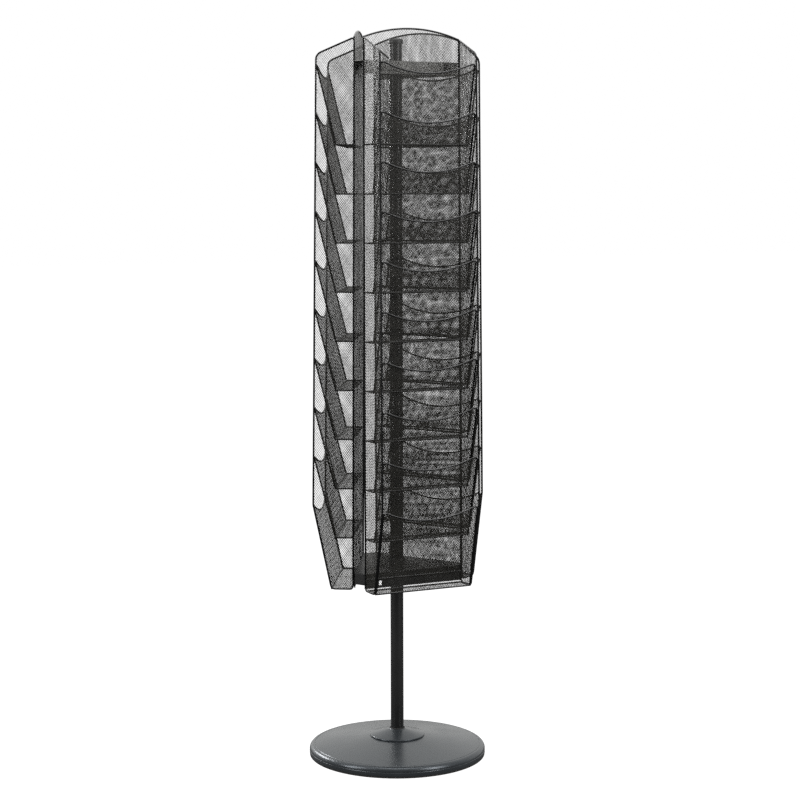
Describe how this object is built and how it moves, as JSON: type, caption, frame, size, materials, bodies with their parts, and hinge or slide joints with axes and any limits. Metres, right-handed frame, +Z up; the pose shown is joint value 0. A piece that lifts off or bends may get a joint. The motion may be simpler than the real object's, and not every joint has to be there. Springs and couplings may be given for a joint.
{
  "type": "rotary literature rack",
  "caption": "Free-standing literature stand: three tall wire-mesh magazine racks in a triangle turn round a post on a weighted round base.",
  "frame": {"origin": "the middle of the base's underside, on the floor and on the post's axis", "axes": "+Z up along the post; -Y out of the front rack; +X to the right of someone who faces that rack"},
  "size_m": [0.4366, 0.406, 1.676],
  "materials": {
    "graphite_coat": "satin powder coat",
    "black_coat": "satin powder coat",
    "black_mesh": "powder-coated wire and mesh",
    "ballast": "as cast",
    "floor_rubber": "matte",
    "zinc": "zinc plated",
    "cap_plastic": "moulded",
    "bearing_plastic": "moulded"
  },
  "bodies": {
    "stand": {"base_shell": "graphite_coat", "base_weight": "ballast", "floor_ring": "floor_rubber", "hub_cover": "graphite_coat", "base_bolt": "zinc", "base_washer": "zinc", "post_foot_plug": "zinc", "lower_post": "black_coat", "post_joiner": "zinc", "upper_post": "black_coat", "post_cap": "cap_plastic", "support_collar": "zinc", "collar_screws": "zinc", "thrust_washer": "bearing_plastic"},
    "carousel": {"bottom_bracket": "black_coat", "bottom_bush": "bearing_plastic", "top_bracket": "black_coat", "top_bush": "bearing_plastic", "rack_hooks": "black_coat", "rack_screws": "black_coat", "rack_nuts": "zinc", "front_rack_back_panel": "black_mesh", "front_rack_left_side": "black_mesh", "front_rack_right_side": "black_mesh", "front_rack_pocket_01": "black_mesh", "front_rack_pocket_02": "black_mesh", "front_rack_pocket_03": "black_mesh", "front_rack_pocket_04": "black_mesh", "front_rack_pocket_05": "black_mesh", "front_rack_pocket_06": "black_mesh", "front_rack_pocket_07": "black_mesh", "front_rack_pocket_08": "black_mesh", "front_rack_pocket_09": "black_mesh", "front_rack_pocket_10": "black_mesh", "right_rack_back_panel": "black_mesh", "right_rack_left_side": "black_mesh", "right_rack_right_side": "black_mesh", "right_rack_pocket_01": "black_mesh", "right_rack_pocket_02": "black_mesh", "right_rack_pocket_03": "black_mesh", "right_rack_pocket_04": "black_mesh", "right_rack_pocket_05": "black_mesh", "right_rack_pocket_06": "black_mesh", "right_rack_pocket_07": "black_mesh", "right_rack_pocket_08": "black_mesh", "right_rack_pocket_09": "black_mesh", "right_rack_pocket_10": "black_mesh", "left_rack_back_panel": "black_mesh", "left_rack_left_side": "black_mesh", "left_rack_right_side": "black_mesh", "left_rack_pocket_01": "black_mesh", "left_rack_pocket_02": "black_mesh", "left_rack_pocket_03": "black_mesh", "left_rack_pocket_04": "black_mesh", "left_rack_pocket_05": "black_mesh", "left_rack_pocket_06": "black_mesh", "left_rack_pocket_07": "black_mesh", "left_rack_pocket_08": "black_mesh", "left_rack_pocket_09": "black_mesh", "left_rack_pocket_10": "black_mesh"}
  },
  "joints": [
    {"name": "carousel_spin", "type": "hinge", "parent": "stand", "child": "carousel", "pos_m": [0, 0, 0.44], "axis": [0, 0, 1], "continuous": true}
  ]
}
